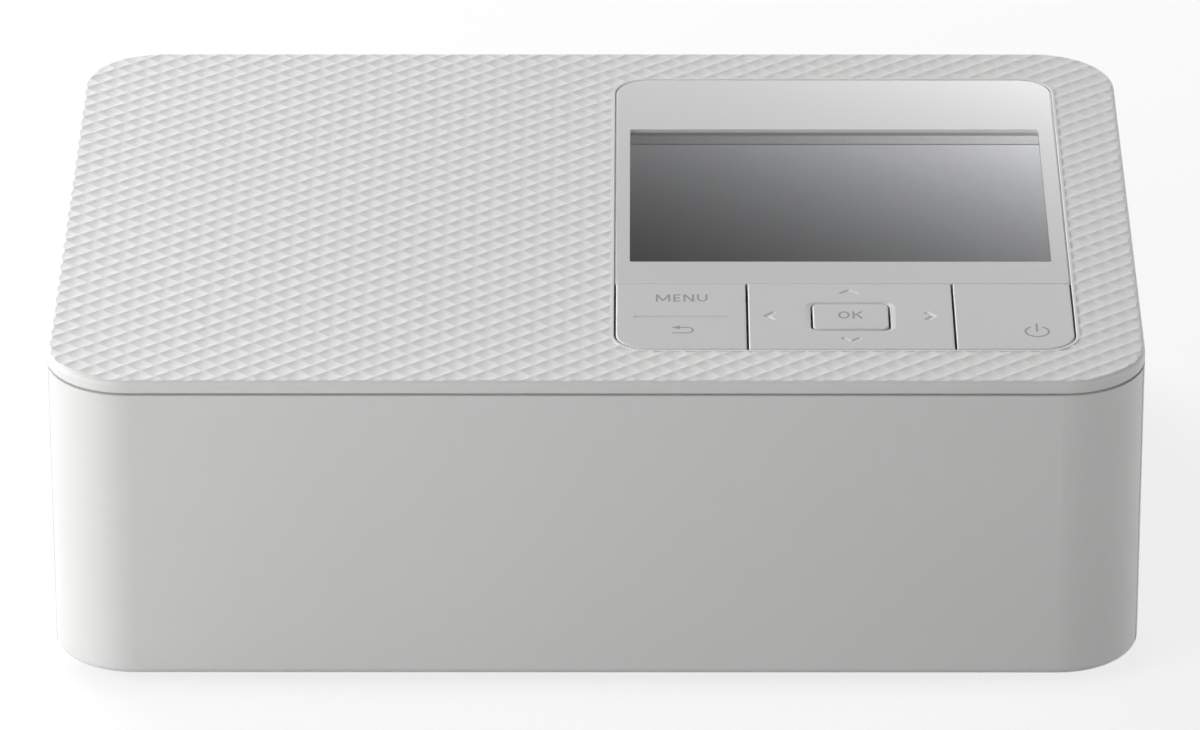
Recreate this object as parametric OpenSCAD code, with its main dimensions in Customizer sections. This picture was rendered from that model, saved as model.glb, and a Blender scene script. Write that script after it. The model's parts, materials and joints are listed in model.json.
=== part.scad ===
// Compact photo printer, 182 x 133 x 58 mm.
// Frame: origin under the middle of the footprint, on the table. +X right, +Y to the rear, +Z up.

/* [Case] */
// Width of the case
body_w = 182.2; // [178:0.2:186]
// Depth of the case
body_d = 133; // [131:0.5:136]
// Height from the table to the top face
body_h = 57.6; // [57:0.1:59]
// Plan radius of the four vertical corners
corner_r = 14; // [12:0.5:15]
// Thickness of the moulded walls
wall_t = 2.2; // [1.8:0.1:2.4]
// Height of the lower edge of the walls
skirt_z = 2.9; // [2.5:0.1:3.2]
// Rounding of the top face's edge
edge_r = 1; // [0.5:0.1:1.5]

/* [Front door] */
// How far behind the front face the door's hinge lies
door_axis_in = 5.5; // [5.2:0.1:5.8]
// Height of the door's hinge
door_axis_z = 6.4; // [6.3:0.1:6.6]
// How far behind the front face the door's side edges lie
door_wrap = 10.4; // [9:0.1:11]

/* [Ribbon door] */
// Front edge of the ribbon door's opening
bay_y0 = -40; // [-42:0.5:-38]
// Rear edge of the ribbon door's opening
bay_y1 = 33; // [32.5:0.1:34]
// Lower edge of the ribbon door's opening
bay_z0 = 11; // [10:0.5:12]
// Upper edge of the ribbon door's opening
bay_z1 = 50; // [49:0.5:50.5]

/* [Console] */
// Left edge of the console
con_x0 = 3; // [2:0.1:4]
// Right edge of the console
con_x1 = 79.7; // [79:0.1:80]
// Front edge of the console
con_y0 = -54.3; // [-54.5:0.1:-54]
// Rear edge of the console
con_y1 = 54.4; // [54:0.1:54.5]
// Corner radius of the console
con_r = 5.5; // [5:0.1:6]
// Gap round the keys and between them
con_gap = 0.4; // [0.3:0.05:0.5]
// Gap round the window, which is let in more tightly than the keys
window_gap = 0.12; // [0.1:0.02:0.2]
// Line between the window and the keys
split_y = -29; // [-29.5:0.1:-28.5]

/* [Drive] */
// Tooth module of all gears
gear_m = 0.6; // [0.58:0.01:0.6]
// Height of the paper's path
paper_z = 17; // [16.9:0.1:17.1]
// Radial play of a shaft in its bush
play = 0.05; // [0.03:0.01:0.08]

/* [Hidden] */
$fn = 48;

half_w = body_w / 2;
half_d = body_d / 2;
seam_z = body_h - 2.5;
seam_gap = 0.4;
cover_z = seam_z + seam_gap / 2;
wall_top = seam_z - seam_gap / 2;
floor_z0 = 2;
floor_z1 = 4;
screw_x = 85.6;
screw_y = 45;
screw_r = 1.25;
inner_x = half_w - wall_t;
inner_y = half_d - wall_t;

// front door
door_y = -half_d + door_axis_in;
door_edge_y = -half_d + door_wrap;
shell_front_y = door_edge_y + 0.45;
door_hinge_x = 66;
door_pin_r = 1.1;
door_barrel_r = 2.2;

// ribbon door: its hinge runs along Z inside the rear edge of its panel
ink_axis_x = half_w - 2.1;
ink_axis_y = bay_y1 - 2.5;
ink_pin_r = 0.9;

// places of the shafts, as [y, z]
grip_at = [33, 13.5];
grip_r = 3.5;
pinch_r = 4;
pinch_at = [33, grip_at[1] + grip_r + pinch_r + 0.25];
platen_r = 6;
platen_at = [-4, paper_z - platen_r];
pickup_at = [-44, 27];
pickup_r = 6;
takeup_at = [16, 34];
supply_at = [-22, 34];
pivot_at = [38, 42];
cam_at = [50, 36];

// gear teeth, and the angles at which each gear is stored so that all are in mesh at rest
grip_n = 28;
idler_n = 36;
pinion_n = 12;
takeup_n = 40;
small_n = 10;
cam_n = 30;
idler_dir = 31;
idler_at = grip_at + gear_step(grip_n, idler_n, idler_dir);
motor_dir = 90;
motor_at = idler_at + gear_step(idler_n, pinion_n, motor_dir);
ribbon_dir = 171;
ribbon_at = takeup_at + gear_step(takeup_n, small_n, ribbon_dir);
headm_dir = 270;
headm_at = cam_at + gear_step(cam_n, small_n, headm_dir);
grip_turn = idler_dir;
idler_turn = mesh_turn(grip_turn, grip_n, idler_n, idler_dir);
motor_turn = mesh_turn(idler_turn, idler_n, pinion_n, motor_dir);
takeup_turn = ribbon_dir;
ribbon_turn = mesh_turn(takeup_turn, takeup_n, small_n, ribbon_dir);
cam_turn = headm_dir;
headm_turn = mesh_turn(cam_turn, cam_n, small_n, headm_dir);

// side plates and the planes of the gears and the belt, along X
left_x = -65;
right_x = 61;
plate_t = 1.2;
gear_x0 = -71;
gear_x1 = -67;
belt_x0 = -76.5;
belt_x1 = -72.5;
pulley_r = 5;
motor_x = -72.5;
head_gear_x0 = 64;
head_gear_x1 = 68;
head_motor_x = 70;

// console levels
window_z = body_h - 2.1;
key_z = body_h - 2.2;
key_floor_z = 54.4;
menu_axis_z = 55;
board_z = 50.6;
board_t = 1.2;
switch_z = 52.6;
stem_z = 53.2;
key_y1 = split_y - 0.3;
key_mid_y = (con_y0 + key_y1) / 2;
key_split = [25.25, 59.75];
pad_mid = [42.4, -41.6];
ok_cap = [36.2, -46.5, 48.8, -36.9];
screen = [5.2, -21, 77.3, 34];

gear_rim = 2.4;
web_in = 1;

// centre distance of two gears as a step in [y, z]
function gear_step(n1, n2, dir) = (n1 + n2) * gear_m / 2 * [cos(dir), sin(dir)];
// turn of gear 2 that puts its gaps on the teeth of gear 1, dir pointing from 1 to 2
function mesh_turn(turn1, n1, n2, dir) = dir + 180 + (dir - turn1) * n1 / n2 + 180 / n2;
function inv(c) = let (a = acos(c)) tan(a) * 180 / PI - a;

// ---------- shared shapes ----------

module block(a, b) {
    translate(a) cube(b - a);
}

module rod(x0, x1, at, r) {
    translate([x0, at[0], at[1]]) rotate([0, 90, 0]) cylinder(h = x1 - x0, r = r);
}

// a shape drawn in the Y-Z plane, drawn out along X
module slab_x(x0, x1) {
    translate([x0, 0, 0]) rotate([90, 0, 90]) linear_extrude(x1 - x0) children();
}

// a shape drawn in the X-Z plane, drawn out along Y
module slab_y(y0, y1) {
    translate([0, y1, 0]) rotate([90, 0, 0]) linear_extrude(y1 - y0) children();
}

module slab_z(z0, z1) {
    translate([0, 0, z0]) linear_extrude(z1 - z0) children();
}

module round_rect(x0, y0, x1, y1, r) {
    translate([x0 + r, y0]) square([x1 - x0 - 2 * r, y1 - y0]);
    translate([x0, y0 + r]) square([x1 - x0, y1 - y0 - 2 * r]);
    for (x = [x0 + r, x1 - r], y = [y0 + r, y1 - r]) translate([x, y]) circle(r);
}

// the case's plan, drawn in by a distance
module plan(inset) {
    round_rect(-half_w + inset, -half_d + inset, half_w - inset, half_d - inset, corner_r - inset);
}

// section of a wall: depth inwards from the outer face, and height, with its lower edge rounded
module wall_section(z0, z1, t, r = 1.4) {
    intersection() {
        translate([0, z0]) square([t, z1 - z0]);
        union() {
            translate([0, z0 + r]) square([t, z1 - z0 - r]);
            translate([r, z0]) square([t, z1 - z0]);
            translate([r, z0 + r]) circle(r);
        }
    }
}

// a wall's section carried round one corner of the case (+1 or -1 for each side)
module corner_wall(sx, sy) {
    scale_x = sx < 0 ? 1 : 0;
    scale_y = sy < 0 ? 1 : 0;
    mirror([scale_x, 0, 0]) mirror([0, scale_y, 0])
        translate([half_w - corner_r, half_d - corner_r, 0])
            rotate_extrude(angle = 90) translate([corner_r, 0]) mirror([1, 0]) children();
}

// a wall's section carried along the front (-1) or the rear (+1)
module end_wall(sy) {
    mirror([0, sy < 0 ? 1 : 0, 0]) slab_x(-half_w + corner_r, half_w - corner_r)
        translate([half_d, 0]) mirror([1, 0]) children();
}

// a wall's section carried along the left (-1) or the right (+1)
module side_wall(sx) {
    mirror([sx < 0 ? 1 : 0, 0, 0]) slab_y(-half_d + corner_r, half_d - corner_r)
        translate([half_w, 0]) mirror([1, 0]) children();
}

// involute gear outline, 20 degrees, with backlash
module gear_outline(n) {
    rp = n * gear_m / 2;
    ra = rp + 0.8 * gear_m;
    rr = rp - 1.15 * gear_m;
    rb = rp * cos(20);
    flank = [max(rb, rr), rp, ra];
    half_at_pitch = 90 / n - 0.08 / rp * 180 / PI / 2;
    function half(r) = half_at_pitch + inv(cos(20)) - inv(rb / max(r, rb));
    polygon([
        for (k = [0 : n - 1])
            each [
                for (side = [-1, 1])
                    let (radii = side < 0 ? [rr, flank[0], flank[1], flank[2]]
                        : [flank[2], flank[1], flank[0], rr])
                        for (r = radii)
                            let (a = k * 360 / n + side * half(r)) r * [cos(a), sin(a)]]]);
}

// a large gear is thinned to a web between its hub and its rim, with holes to save plastic
module gear(x0, x1, at, n, turn, bore) {
    rim_r = n * gear_m / 2 - gear_rim;
    hub_r = bore + 1.6;
    difference() {
        translate([0, at[0], at[1]]) slab_x(x0, x1) difference() {
            rotate(turn) gear_outline(n);
            circle(bore);
        }
        if (rim_r - hub_r > 1.5) for (x = [x0 - 1, x1 - web_in]) difference() {
            rod(x, x + 1 + web_in, at, rim_r);
            rod(x - 1, x + 2 + web_in, at, hub_r);
        }
        if (rim_r - hub_r > 4) for (i = [0 : 4])
            rod(x0 - 1, x1 + 1, at + (rim_r + hub_r) / 2 * [cos(turn + i * 72), sin(turn + i * 72)], 1.4);
    }
}

// ---------- case ----------

module case_shell() {
    color("white") difference() {
        union() {
            intersection() {
                union() {
                    for (s = [-1, 1]) {
                        side_wall(s) wall_section(skirt_z, wall_top, wall_t);
                        corner_wall(s, 1) wall_section(skirt_z, wall_top, wall_t);
                        corner_wall(s, -1) wall_section(skirt_z, wall_top, wall_t);
                    }
                    end_wall(1) wall_section(skirt_z, wall_top, wall_t);
                }
                block([-half_w - 1, shell_front_y, 0], [half_w + 1, half_d + 1, body_h]);
            }
            for (x = [-1, 1], y = [-screw_y, screw_y]) screw_boss(x, y);
            for (z = [[bay_z0 - 5.7, bay_z0 - 0.2], [bay_z1 + 0.2, bay_z1 + 4.2]])
                block([inner_x - 2.4, ink_axis_y - 2.2, z[0]], [inner_x + 0.5, ink_axis_y + 2.2, z[1]]);
        }
        ribbon_door_hole();
        // notch for a fingernail at the ribbon door's front edge
        translate([half_w + 4.6, bay_y0 - 2, (bay_z0 + bay_z1) / 2 - 7]) cylinder(h = 14, r = 6);
        rear_cutouts();
        left_cutouts();
        translate([ink_axis_x, ink_axis_y, bay_z0 - 5]) cylinder(h = bay_z1 + 8.5 - bay_z0, r = ink_pin_r);
    }
}

module screw_boss(sx, y) {
    difference() {
        union() {
            translate([sx * screw_x, y, floor_z1]) cylinder(h = 9, r = 2.8);
            mirror([sx < 0 ? 1 : 0, 0, 0])
                block([screw_x, y - 0.8, floor_z1], [half_w - wall_t + 0.3, y + 0.8, floor_z1 + 9]);
        }
        translate([sx * screw_x, y, floor_z1 - 1]) cylinder(h = 9, r = screw_r);
    }
}

module ribbon_door_hole() {
    slab_x(inner_x - 3, half_w + 1) {
        round_rect(bay_y0, bay_z0, bay_y1, bay_z1, 3);
        translate([bay_y1 - 6, bay_z0]) square([6, bay_z1 - bay_z0]);
    }
}

module rear_cutouts() {
    // paper slot, vents and the round hole of the DC inlet
    slab_y(inner_y - 1, half_d + 1) round_rect(-53, 15.5, 53, 21.5, 2);
    for (i = [0 : 9])
        slab_y(inner_y - 1, half_d + 1) round_rect(20 + 4.5 * i, 31, 22 + 4.5 * i, 43, 0.99);
    translate([-55, half_d + 1, 46.4]) rotate([90, 0, 0]) cylinder(h = 5, r = 3.4);
}

module left_cutouts() {
    // card slot and USB port
    slab_x(-half_w - 1, -inner_x + 1) round_rect(-40.2, 46.8, -14.8, 49.4, 0.6);
    slab_x(-half_w - 1, -inner_x + 1) round_rect(-6.2, 46.5, 3.4, 50, 1.6);
}

module base_tray() {
    color("gainsboro") difference() {
        union() {
            intersection() {
                slab_z(floor_z0, floor_z1) plan(wall_t + 0.1);
                block([-half_w, -half_d + 9.5, 0], [half_w, half_d, 10]);
            }
            for (s = [-1, 1]) {
                hinge_ear(s * door_hinge_x);
                lift_lug(s * 18.5);
            }
            for (y = [-10, 12, 44])
                block([-57, y, floor_z1 - 0.5], [57, y + 1.2, floor_z1 + 0.6]);
        }
        for (s = [-1, 1]) {
            rod(s * door_hinge_x - 4, s * door_hinge_x + 4, [door_y, door_axis_z], door_pin_r);
            rod(s * 18.5 - 3, s * 18.5 + 3, lift_at, lift_r + play);
        }
        for (x = [-screw_x, screw_x], y = [-screw_y, screw_y]) translate([x, y, 0]) {
            translate([0, 0, 1]) cylinder(h = 2.2, r = 2.7);
            cylinder(h = 8, r = screw_r);
        }
        for (p = foot_places) translate([p[0], p[1], floor_z0 - 0.1]) cylinder(h = 0.7, r = 5);
        slab_z(0, floor_z1 + 1) for (i = [-4 : 4]) round_rect(i * 9 - 1.2, 17, i * 9 + 1.2, 40, 1.19);
    }
}

module hinge_ear(x) {
    block([x - 2, door_y, door_axis_z - 2.2], [x + 2, -half_d + 11, door_axis_z + 2.2]);
    block([x - 2, -half_d + 9.5, floor_z0], [x + 2, -half_d + 12, door_axis_z + 2.2]);
    rod(x - 2, x + 2, [door_y, door_axis_z], door_barrel_r);
}

lift_at = [-26, 6.8];
lift_r = 1.2;

module lift_lug(x) {
    block([x - 1.5, lift_at[0] - 2.5, floor_z1 - 0.5], [x + 1.5, lift_at[0] + 2.5, lift_at[1]]);
    rod(x - 1.5, x + 1.5, lift_at, 2.5);
}

foot_places = [for (x = [-70, 70], y = [-46, 50]) [x, y]];

module feet() {
    color("dimgray") for (p = foot_places) translate([p[0], p[1], 0]) {
        cylinder(h = 0.6, r1 = 4.2, r2 = 5);
        translate([0, 0, 0.6]) cylinder(h = floor_z0, r = 5);
    }
}

module case_screws() {
    color("silver") for (x = [-screw_x, screw_x], y = [-screw_y, screw_y])
        translate([x, y, floor_z0]) difference() {
            union() {
                translate([0, 0, 0.1]) cylinder(h = 1.1, r = 2.5);
                translate([0, 0, 1.2]) cylinder(h = 8, r = screw_r);
            }
            // cross recess
            for (a = [45, 135]) rotate(a) block([-1.4, -0.35, -1], [1.4, 0.35, 0.9]);
        }
}

module front_frame() {
    color("gainsboro") difference() {
        union() {
            block([-84, -60.4, 9.6], [84, -58.4, 52.5]);
            // collar of the cassette mouth
            block([-62, -59, 9.6], [62, -52, 29]);
            for (s = [-1, 1]) block([s * 82 - 1, -59, 12], [s * 82 + 1, -51, 50]);
        }
        block([-60, -70, 8], [60, -40, 27]);
        for (s = [-1, 1]) block([s * 73 - 8, -70, 33], [s * 73 + 8, -50, 49]);
    }
}

module front_door_pins() {
    color("silver") for (s = [-1, 1])
        rod(s * door_hinge_x - 7, s * door_hinge_x + 7, [door_y, door_axis_z], door_pin_r);
}

module ink_door_pins() {
    color("silver") for (z = [bay_z0 - 5, bay_z1 - 4.5])
        translate([ink_axis_x, ink_axis_y, z]) cylinder(h = 8, r = ink_pin_r);
}

// a plate with its upper edge rounded, and the case's plan
module edged_slab(z0, z1, r) {
    slab_y(-half_d + corner_r, half_d - corner_r) {
        translate([-half_w, z0]) square([body_w, z1 - z0 - r]);
        translate([-half_w + r, z0]) square([body_w - 2 * r, z1 - z0]);
        for (s = [-1, 1]) translate([s * (half_w - r), z1 - r]) circle(r);
    }
    for (s = [0, 1]) mirror([0, s, 0]) slab_x(-half_w + corner_r, half_w - corner_r) {
        translate([half_d - corner_r, z0]) square([corner_r, z1 - z0 - r]);
        translate([half_d - corner_r, z0]) square([corner_r - r, z1 - z0]);
        translate([half_d - r, z1 - r]) circle(r);
    }
    for (i = [0, 1], j = [0, 1]) mirror([i, 0, 0]) mirror([0, j, 0])
        translate([half_w - corner_r, half_d - corner_r, 0]) rotate_extrude(angle = 90) {
            translate([0, z0]) square([corner_r, z1 - z0 - r]);
            translate([0, z0]) square([corner_r - r, z1 - z0]);
            translate([corner_r - r, z1 - r]) circle(r);
        }
}

module console_outline(grow, y0 = con_y0, y1 = con_y1) {
    round_rect(con_x0 - grow, y0 - grow, con_x1 + grow, y1 + grow, con_r + grow);
}

module top_cover() {
    color("white") difference() {
        union() {
            edged_slab(cover_z, body_h, edge_r);
            // rib that seats inside the walls
            difference() {
                slab_z(cover_z - 2.6, cover_z + 0.2) plan(wall_t + 0.3);
                slab_z(cover_z - 3, cover_z + 1) plan(wall_t + 1.6);
                block([inner_x - 3, ink_axis_y - 3, 40], [inner_x + 3, ink_axis_y + 3, cover_z]);
            }
        }
        slab_z(cover_z - 1, body_h + 1) console_outline(con_gap);
    }
}

// ---------- console ----------

module console_frame() {
    color("whitesmoke") difference() {
        union() {
            slab_z(53.6, cover_z) console_outline(2);
            intersection() {
                slab_z(53.6, window_z) console_outline(0);
                block([0, split_y + 0.4, 50], [90, 60, 60]);
            }
        }
        // well of the keys
        intersection() {
            slab_z(key_floor_z, 60) console_outline(con_gap);
            block([0, -60, 50], [90, split_y + 0.1, 60]);
        }
        block([screen[0] - 0.2, screen[1] - 0.2, 50], [screen[2] + 0.2, screen[3] + 0.2, 60]);
        for (p = stem_places) translate([p[0], p[1], 50]) cylinder(h = 6, r = 1.7);
        translate([pad_mid[0], pad_mid[1], 50]) cylinder(h = 6, r = 2.6);
    }
}

stem_places = [
    [14, -33.6], [14, -49.8], [pad_mid[0] - 13.2, pad_mid[1]], [pad_mid[0] + 13.2, pad_mid[1]],
    [pad_mid[0], pad_mid[1] + 9], [pad_mid[0], pad_mid[1] - 9.2], [69.8, -41.7]];

module display_window() {
    color("ghostwhite") intersection() {
        slab_z(window_z, body_h) console_outline(con_gap - window_gap);
        block([0, split_y, 50], [90, 60, 60]);
    }
}

module display_panel() {
    color("dimgray") block([screen[0], screen[1], 52.6], [screen[2], screen[3], window_z - 0.1]);
    color("silver") block([screen[0] - 1, screen[1] - 1, 51], [screen[2] + 1, screen[3] + 1, 52.6]);
}

module key_board() {
    color("seagreen") block([5, -53, board_z], [78, -30.5, board_z + board_t]);
    color("silver") for (p = concat(stem_places, [pad_mid])) translate([p[0], p[1], 0]) {
        block([-2.4, -2.4, board_z + board_t], [2.4, 2.4, switch_z - 0.3]);
        translate([0, 0, board_z + board_t]) cylinder(h = switch_z - board_z - board_t, r = 1.3);
    }
}

// the part of the console's outline between two x and the front keys' edges
module key_cap(x0, x1, z0 = key_z) {
    intersection() {
        slab_z(z0, body_h) console_outline(0);
        block([x0, con_y0 - 1, 50], [x1, key_y1, 60]);
    }
}

// the centre key's outline, widened each way
module ok_outline(gx, gy, r) {
    round_rect(ok_cap[0] - gx, ok_cap[1] - gy, ok_cap[2] + gx, ok_cap[3] + gy, r);
}

module stem(p) {
    translate([p[0], p[1], stem_z]) cylinder(h = key_z - stem_z + 0.2, r = 1.1);
}

module menu_key() {
    color("whitesmoke") {
        key_cap(con_x0, key_split[0] - con_gap / 2);
        stem(stem_places[0]);
        stem(stem_places[1]);
        // round rib that it rocks on
        rod(6, 22, [key_mid_y, menu_axis_z], 0.5);
        block([6, key_mid_y - 0.5, menu_axis_z], [22, key_mid_y + 0.5, key_z + 0.1]);
    }
}

module pad_carrier() {
    color("gainsboro") difference() {
        slab_z(key_floor_z + 0.3, key_z - 0.3)
            round_rect(pad_mid[0] - 10, pad_mid[1] - 7.5, pad_mid[0] + 10, pad_mid[1] + 7.5, 2);
        slab_z(50, 60) ok_outline(0.8, 0.8, 1.6);
    }
}

module direction_pad() {
    color("whitesmoke") {
        difference() {
            key_cap(key_split[0] + con_gap / 2, key_split[1] - con_gap / 2);
            slab_z(50, 60) ok_outline(0.35, 0.35, 1.5);
            slab_z(body_h - 0.5, 60) ok_outline(1.1, 0.6, 1.7);
        }
        for (i = [2 : 5]) stem(stem_places[i]);
    }
}

module ok_key() {
    color("whitesmoke") {
        slab_z(key_z, body_h) ok_outline(0, 0, 1.2);
        translate([pad_mid[0], pad_mid[1], stem_z]) cylinder(h = key_z - stem_z + 0.2, r = 2);
    }
}

module power_key() {
    color("whitesmoke") {
        key_cap(key_split[1] + con_gap / 2, con_x1);
        stem(stem_places[6]);
    }
}

// ---------- electronics ----------

module main_board() {
    color("seagreen") difference() {
        block([-86, -50, 50], [-2, 58, 51.6]);
        for (p = board_holes) translate([p[0], p[1], 49]) cylinder(h = 4, r = 1.6);
    }
    color("whitesmoke") for (c = [[-60, 50], [-40, 50], [-16, 46]])
        difference() {
            block([c[0] - 5, c[1] - 2.5, 51.6], [c[0] + 5, c[1] + 2.5, 54.2]);
            block([c[0] - 4.2, c[1] - 1.7, 52.2], [c[0] + 4.2, c[1] + 1.7, 55]);
        }
    color("dimgray") {
        block([-52, -12, 51.6], [-36, 4, 53.2]);
        block([-52, 12, 51.6], [-42, 24, 52.8]);
        block([-32, -10, 51.6], [-24, 2, 52.6]);
        block([-30, 20, 51.6], [-20, 30, 53]);
    }
    color("silver") {
        block([-20, -46, 51.6], [-6, -30, 54]);
        for (i = [0 : 2]) translate([-70, 26 + 9 * i, 51.6]) cylinder(h = 3, r = 3.2);
    }
}

board_holes = [[-82, -46.5], [-82, 20], [-6, 54], [-40, -46]];

module card_reader() {
    color("silver") difference() {
        block([-88.7, -41.4, 46.2], [-62, -13.6, 50]);
        block([-90, -39.9, 47], [-64, -15.1, 49.2]);
    }
}

module usb_port() {
    color("silver") difference() {
        slab_x(-88.7, -81) round_rect(-5.8, 46.6, 3, 50, 1.4);
        slab_x(-89, -82) round_rect(-5.4, 47, 2.6, 49.6, 1.2);
    }
    color("dimgray") block([-88, -4, 48], [-81.5, 1.2, 48.6]);
}

module dc_jack() {
    color("dimgray") difference() {
        block([-60, 55.2, 42.6], [-50, inner_y, 50]);
        translate([-55, half_d, 46.4]) rotate([90, 0, 0]) cylinder(h = 9, r = 2.75);
    }
    color("silver") translate([-55, 63.5, 46.4]) rotate([90, 0, 0]) cylinder(h = 7, r = 0.8);
}

module panel_cable() {
    color("wheat") slab_y(-44, -34) polygon([
        [-12, 54], [-12, 54.3], [-3.2, 54.3], [-0.2, 52.1], [9, 52.1], [9, board_z + board_t],
        [-0.3, board_z + board_t], [-3.3, 54]]);
}

// ---------- chassis ----------

module left_side_plate() {
    color("silver") {
        difference() {
            slab_x(left_x - plate_t, left_x)
                polygon([[-50, floor_z1], [57, floor_z1], [57, 49.2], [36, 49.2], [33, 45], [-50, 45]]);
            for (b = bush_list) rod(left_x - 5, left_x + 5, b[0], b[1] + 1.4);
            rod(left_x - 5, left_x + 5, pivot_at, 2);
            slab_x(left_x - 5, left_x + 5) round_rect(-14, 20, 4, 30, 3);
        }
        rod(gear_x0 - 0.6, left_x - plate_t, idler_at, 2);
    }
}

module right_side_plate() {
    color("silver") difference() {
        slab_x(right_x, right_x + plate_t)
            polygon([[-50, floor_z1], [58, floor_z1], [58, 49.2], [-50, 49.2]]);
        for (b = bush_list) if (b[2]) rod(right_x - 5, right_x + 5, b[0], b[1] + 1.4);
        rod(right_x - 5, right_x + 5, pivot_at, 2);
        block([right_x - 5, -33.5, 17.2], [right_x + 5, 27.5, 46.6]);
    }
}

// each bush's place, the radius of its shaft, and whether the right plate has it too
bush_list = [
    [grip_at, 2.5, true], [pinch_at, 1.5, true], [platen_at, 2, true], [pickup_at, 2, true],
    [cam_at, 2, true], [takeup_at, 1.5, false], [supply_at, 1.5, false]];

module bush(x, out, at, r) {
    difference() {
        union() {
            rod(x, x + plate_t, at, r + 1.4);
            rod(out > 0 ? x + plate_t : x - 1, out > 0 ? x + plate_t + 1 : x, at, r + 2);
        }
        rod(x - 5, x + 5, at, r + play);
    }
}

module shaft_bushes() {
    color("goldenrod") for (b = bush_list) {
        bush(left_x - plate_t, 1, b[0], b[1]);
        if (b[2]) bush(right_x, -1, b[0], b[1]);
    }
}

module paper_guide_lower() {
    color("dimgray") difference() {
        union() {
            block([-60, -24, paper_z - 2], [60, 62, paper_z - 0.6]);
            for (s = [-1, 1], y = [[-24, -12], [4, 18], [50, 62]])
                block([s * 59 - 1, y[0], floor_z1], [s * 59 + 1, y[1], paper_z - 1]);
            for (y = [-23, 5, 20, 44]) block([-56, y, paper_z - 4], [56, y + 1.4, paper_z - 1]);
        }
        block([-54, -11.5, 0], [54, 3.5, 30]);
        block([-61, 28, 0], [61, 38, 30]);
    }
}

module paper_guide_upper() {
    color("dimgray") {
        block([-57, 40, 18.8], [57, 62, 20.2]);
        for (i = [-5 : 5]) block([i * 11 - 0.7, 42, 20], [i * 11 + 0.7, 61, 23.5]);
        for (s = [-1, 1]) block([s * 58.5 - 1.5, 46, paper_z - 0.6], [s * 58.5 + 1.5, 60, 20.2]);
    }
}

module ribbon_cradle() {
    color("gainsboro") {
        for (y = [[-34, -13], [6, 27.4]]) block([left_x + 4, y[0], 20.2], [right_x, y[1], 21.6]);
        difference() {
            block([right_x + plate_t, -35, 15.6], [inner_x - 1.5, 29, 48.2]);
            block([right_x, -33.5, 17.2], [half_w, 27.5, 46.6]);
        }
    }
}

module head_shaft() {
    color("silver") rod(left_x - plate_t, right_x + plate_t, pivot_at, 2);
}

module head_springs() {
    color("silver") for (x = [-50, 44]) difference() {
        rod(x, x + 6, pivot_at, 3.2);
        rod(x - 1, x + 7, pivot_at, 2);
    }
}

// a drawn steel can with a stepped rear end, flattened above and below to a share of its radius
module motor(x0, x1, at, r, face_x, posts, flat = 1) {
    out = sign(x1 - x0);
    difference() {
        union() {
            intersection() {
                union() {
                    rod(min(x0, x1 - out), max(x0, x1 - out), at, r);
                    rod(min(x0, x1), max(x0, x1), at, r - 0.9);
                }
                block([-half_w, at[0] - r - 1, at[1] - r * flat], [half_w, at[0] + r + 1, at[1] + r * flat]);
            }
            for (p = posts) {
                rod(min(face_x, x0), max(face_x, x0), p, 1.4);
                rod(min(x0, x0 + sign(x1 - x0) * 1.2), max(x0, x0 + sign(x1 - x0) * 1.2), p, 3);
            }
        }
        rod(x0 - 3, x0 + 3, at, 1.05);
    }
}

module feed_motor() {
    color("silver") motor(motor_x, -85, motor_at, 11, left_x - plate_t,
        [for (s = [-1, 1]) motor_at + [s * 7.4, 8.2]]);
}

module ribbon_motor() {
    color("silver") motor(motor_x, -88.4, ribbon_at, 8.5, left_x - plate_t,
        [for (s = [-1, 1]) ribbon_at + [-7.4, s * 5.4]], 0.86);
}

module head_motor() {
    color("silver") motor(head_motor_x, 86.5, headm_at, 8, right_x + plate_t,
        [for (s = [-1, 1]) headm_at + [s * 5.8, -5.8]], 0.86);
}

module belt_loop(r) {
    for (p = [grip_at, pickup_at]) translate(p) circle(r);
    step = pickup_at - grip_at;
    translate(grip_at) rotate(atan2(step[1], step[0])) translate([0, -r]) square([norm(step), 2 * r]);
}

module feed_belt() {
    color("dimgray") slab_x(belt_x0 + 0.5, belt_x1 - 0.5) difference() {
        belt_loop(pulley_r + 1.1);
        belt_loop(pulley_r + 0.2);
    }
}

module pulley(at) {
    difference() {
        union() {
            rod(belt_x0, belt_x1, at, pulley_r);
            rod(belt_x0 - 0.6, belt_x0, at, pulley_r + 1.6);
        }
        rod(belt_x0 - 5, belt_x1 + 5, at, 2);
    }
}

// ---------- moving covers ----------

module front_door() {
    color("white") difference() {
        union() {
            intersection() {
                union() {
                    end_wall(-1) wall_section(skirt_z, wall_top, wall_t);
                    for (s = [-1, 1]) corner_wall(s, -1) wall_section(skirt_z, wall_top, wall_t);
                }
                // side view, with the lower rear corners rounded to swing clear of the case
                slab_x(-half_w - 1, half_w + 1)
                    round_rect(-half_d - 10, skirt_z - 0.01, door_edge_y, body_h + 10, 3);
                block([-half_w - 1, -half_d - 1, 0], [half_w + 1, 0, wall_top]);
            }
            for (s = [-1, 1], k = [-1, 1]) door_barrel(s * door_hinge_x + k * 4.6);
            for (i = [-2 : 2])
                block([i * 24 - 0.6, -half_d + wall_t - 0.2, 12], [i * 24 + 0.6, -half_d + 3.4, 46]);
            // round-nosed catches
            for (s = [-1, 1]) {
                block([s * 70 - 3, -half_d + wall_t - 0.2, 49.2], [s * 70 + 3, -half_d + 4.6, 51.2]);
                rod(s * 70 - 3, s * 70 + 3, [-half_d + 4.6, 50.2], 1);
            }
        }
        for (s = [-1, 1])
            rod(s * door_hinge_x - 9, s * door_hinge_x + 9, [door_y, door_axis_z], door_pin_r + play);
    }
}

module door_barrel(x) {
    rod(x - 2.3, x + 2.3, [door_y, door_axis_z], door_barrel_r);
    block([x - 2.3, -half_d + wall_t - 0.2, door_axis_z - 2], [x + 2.3, door_y, door_axis_z + 2]);
}

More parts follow.
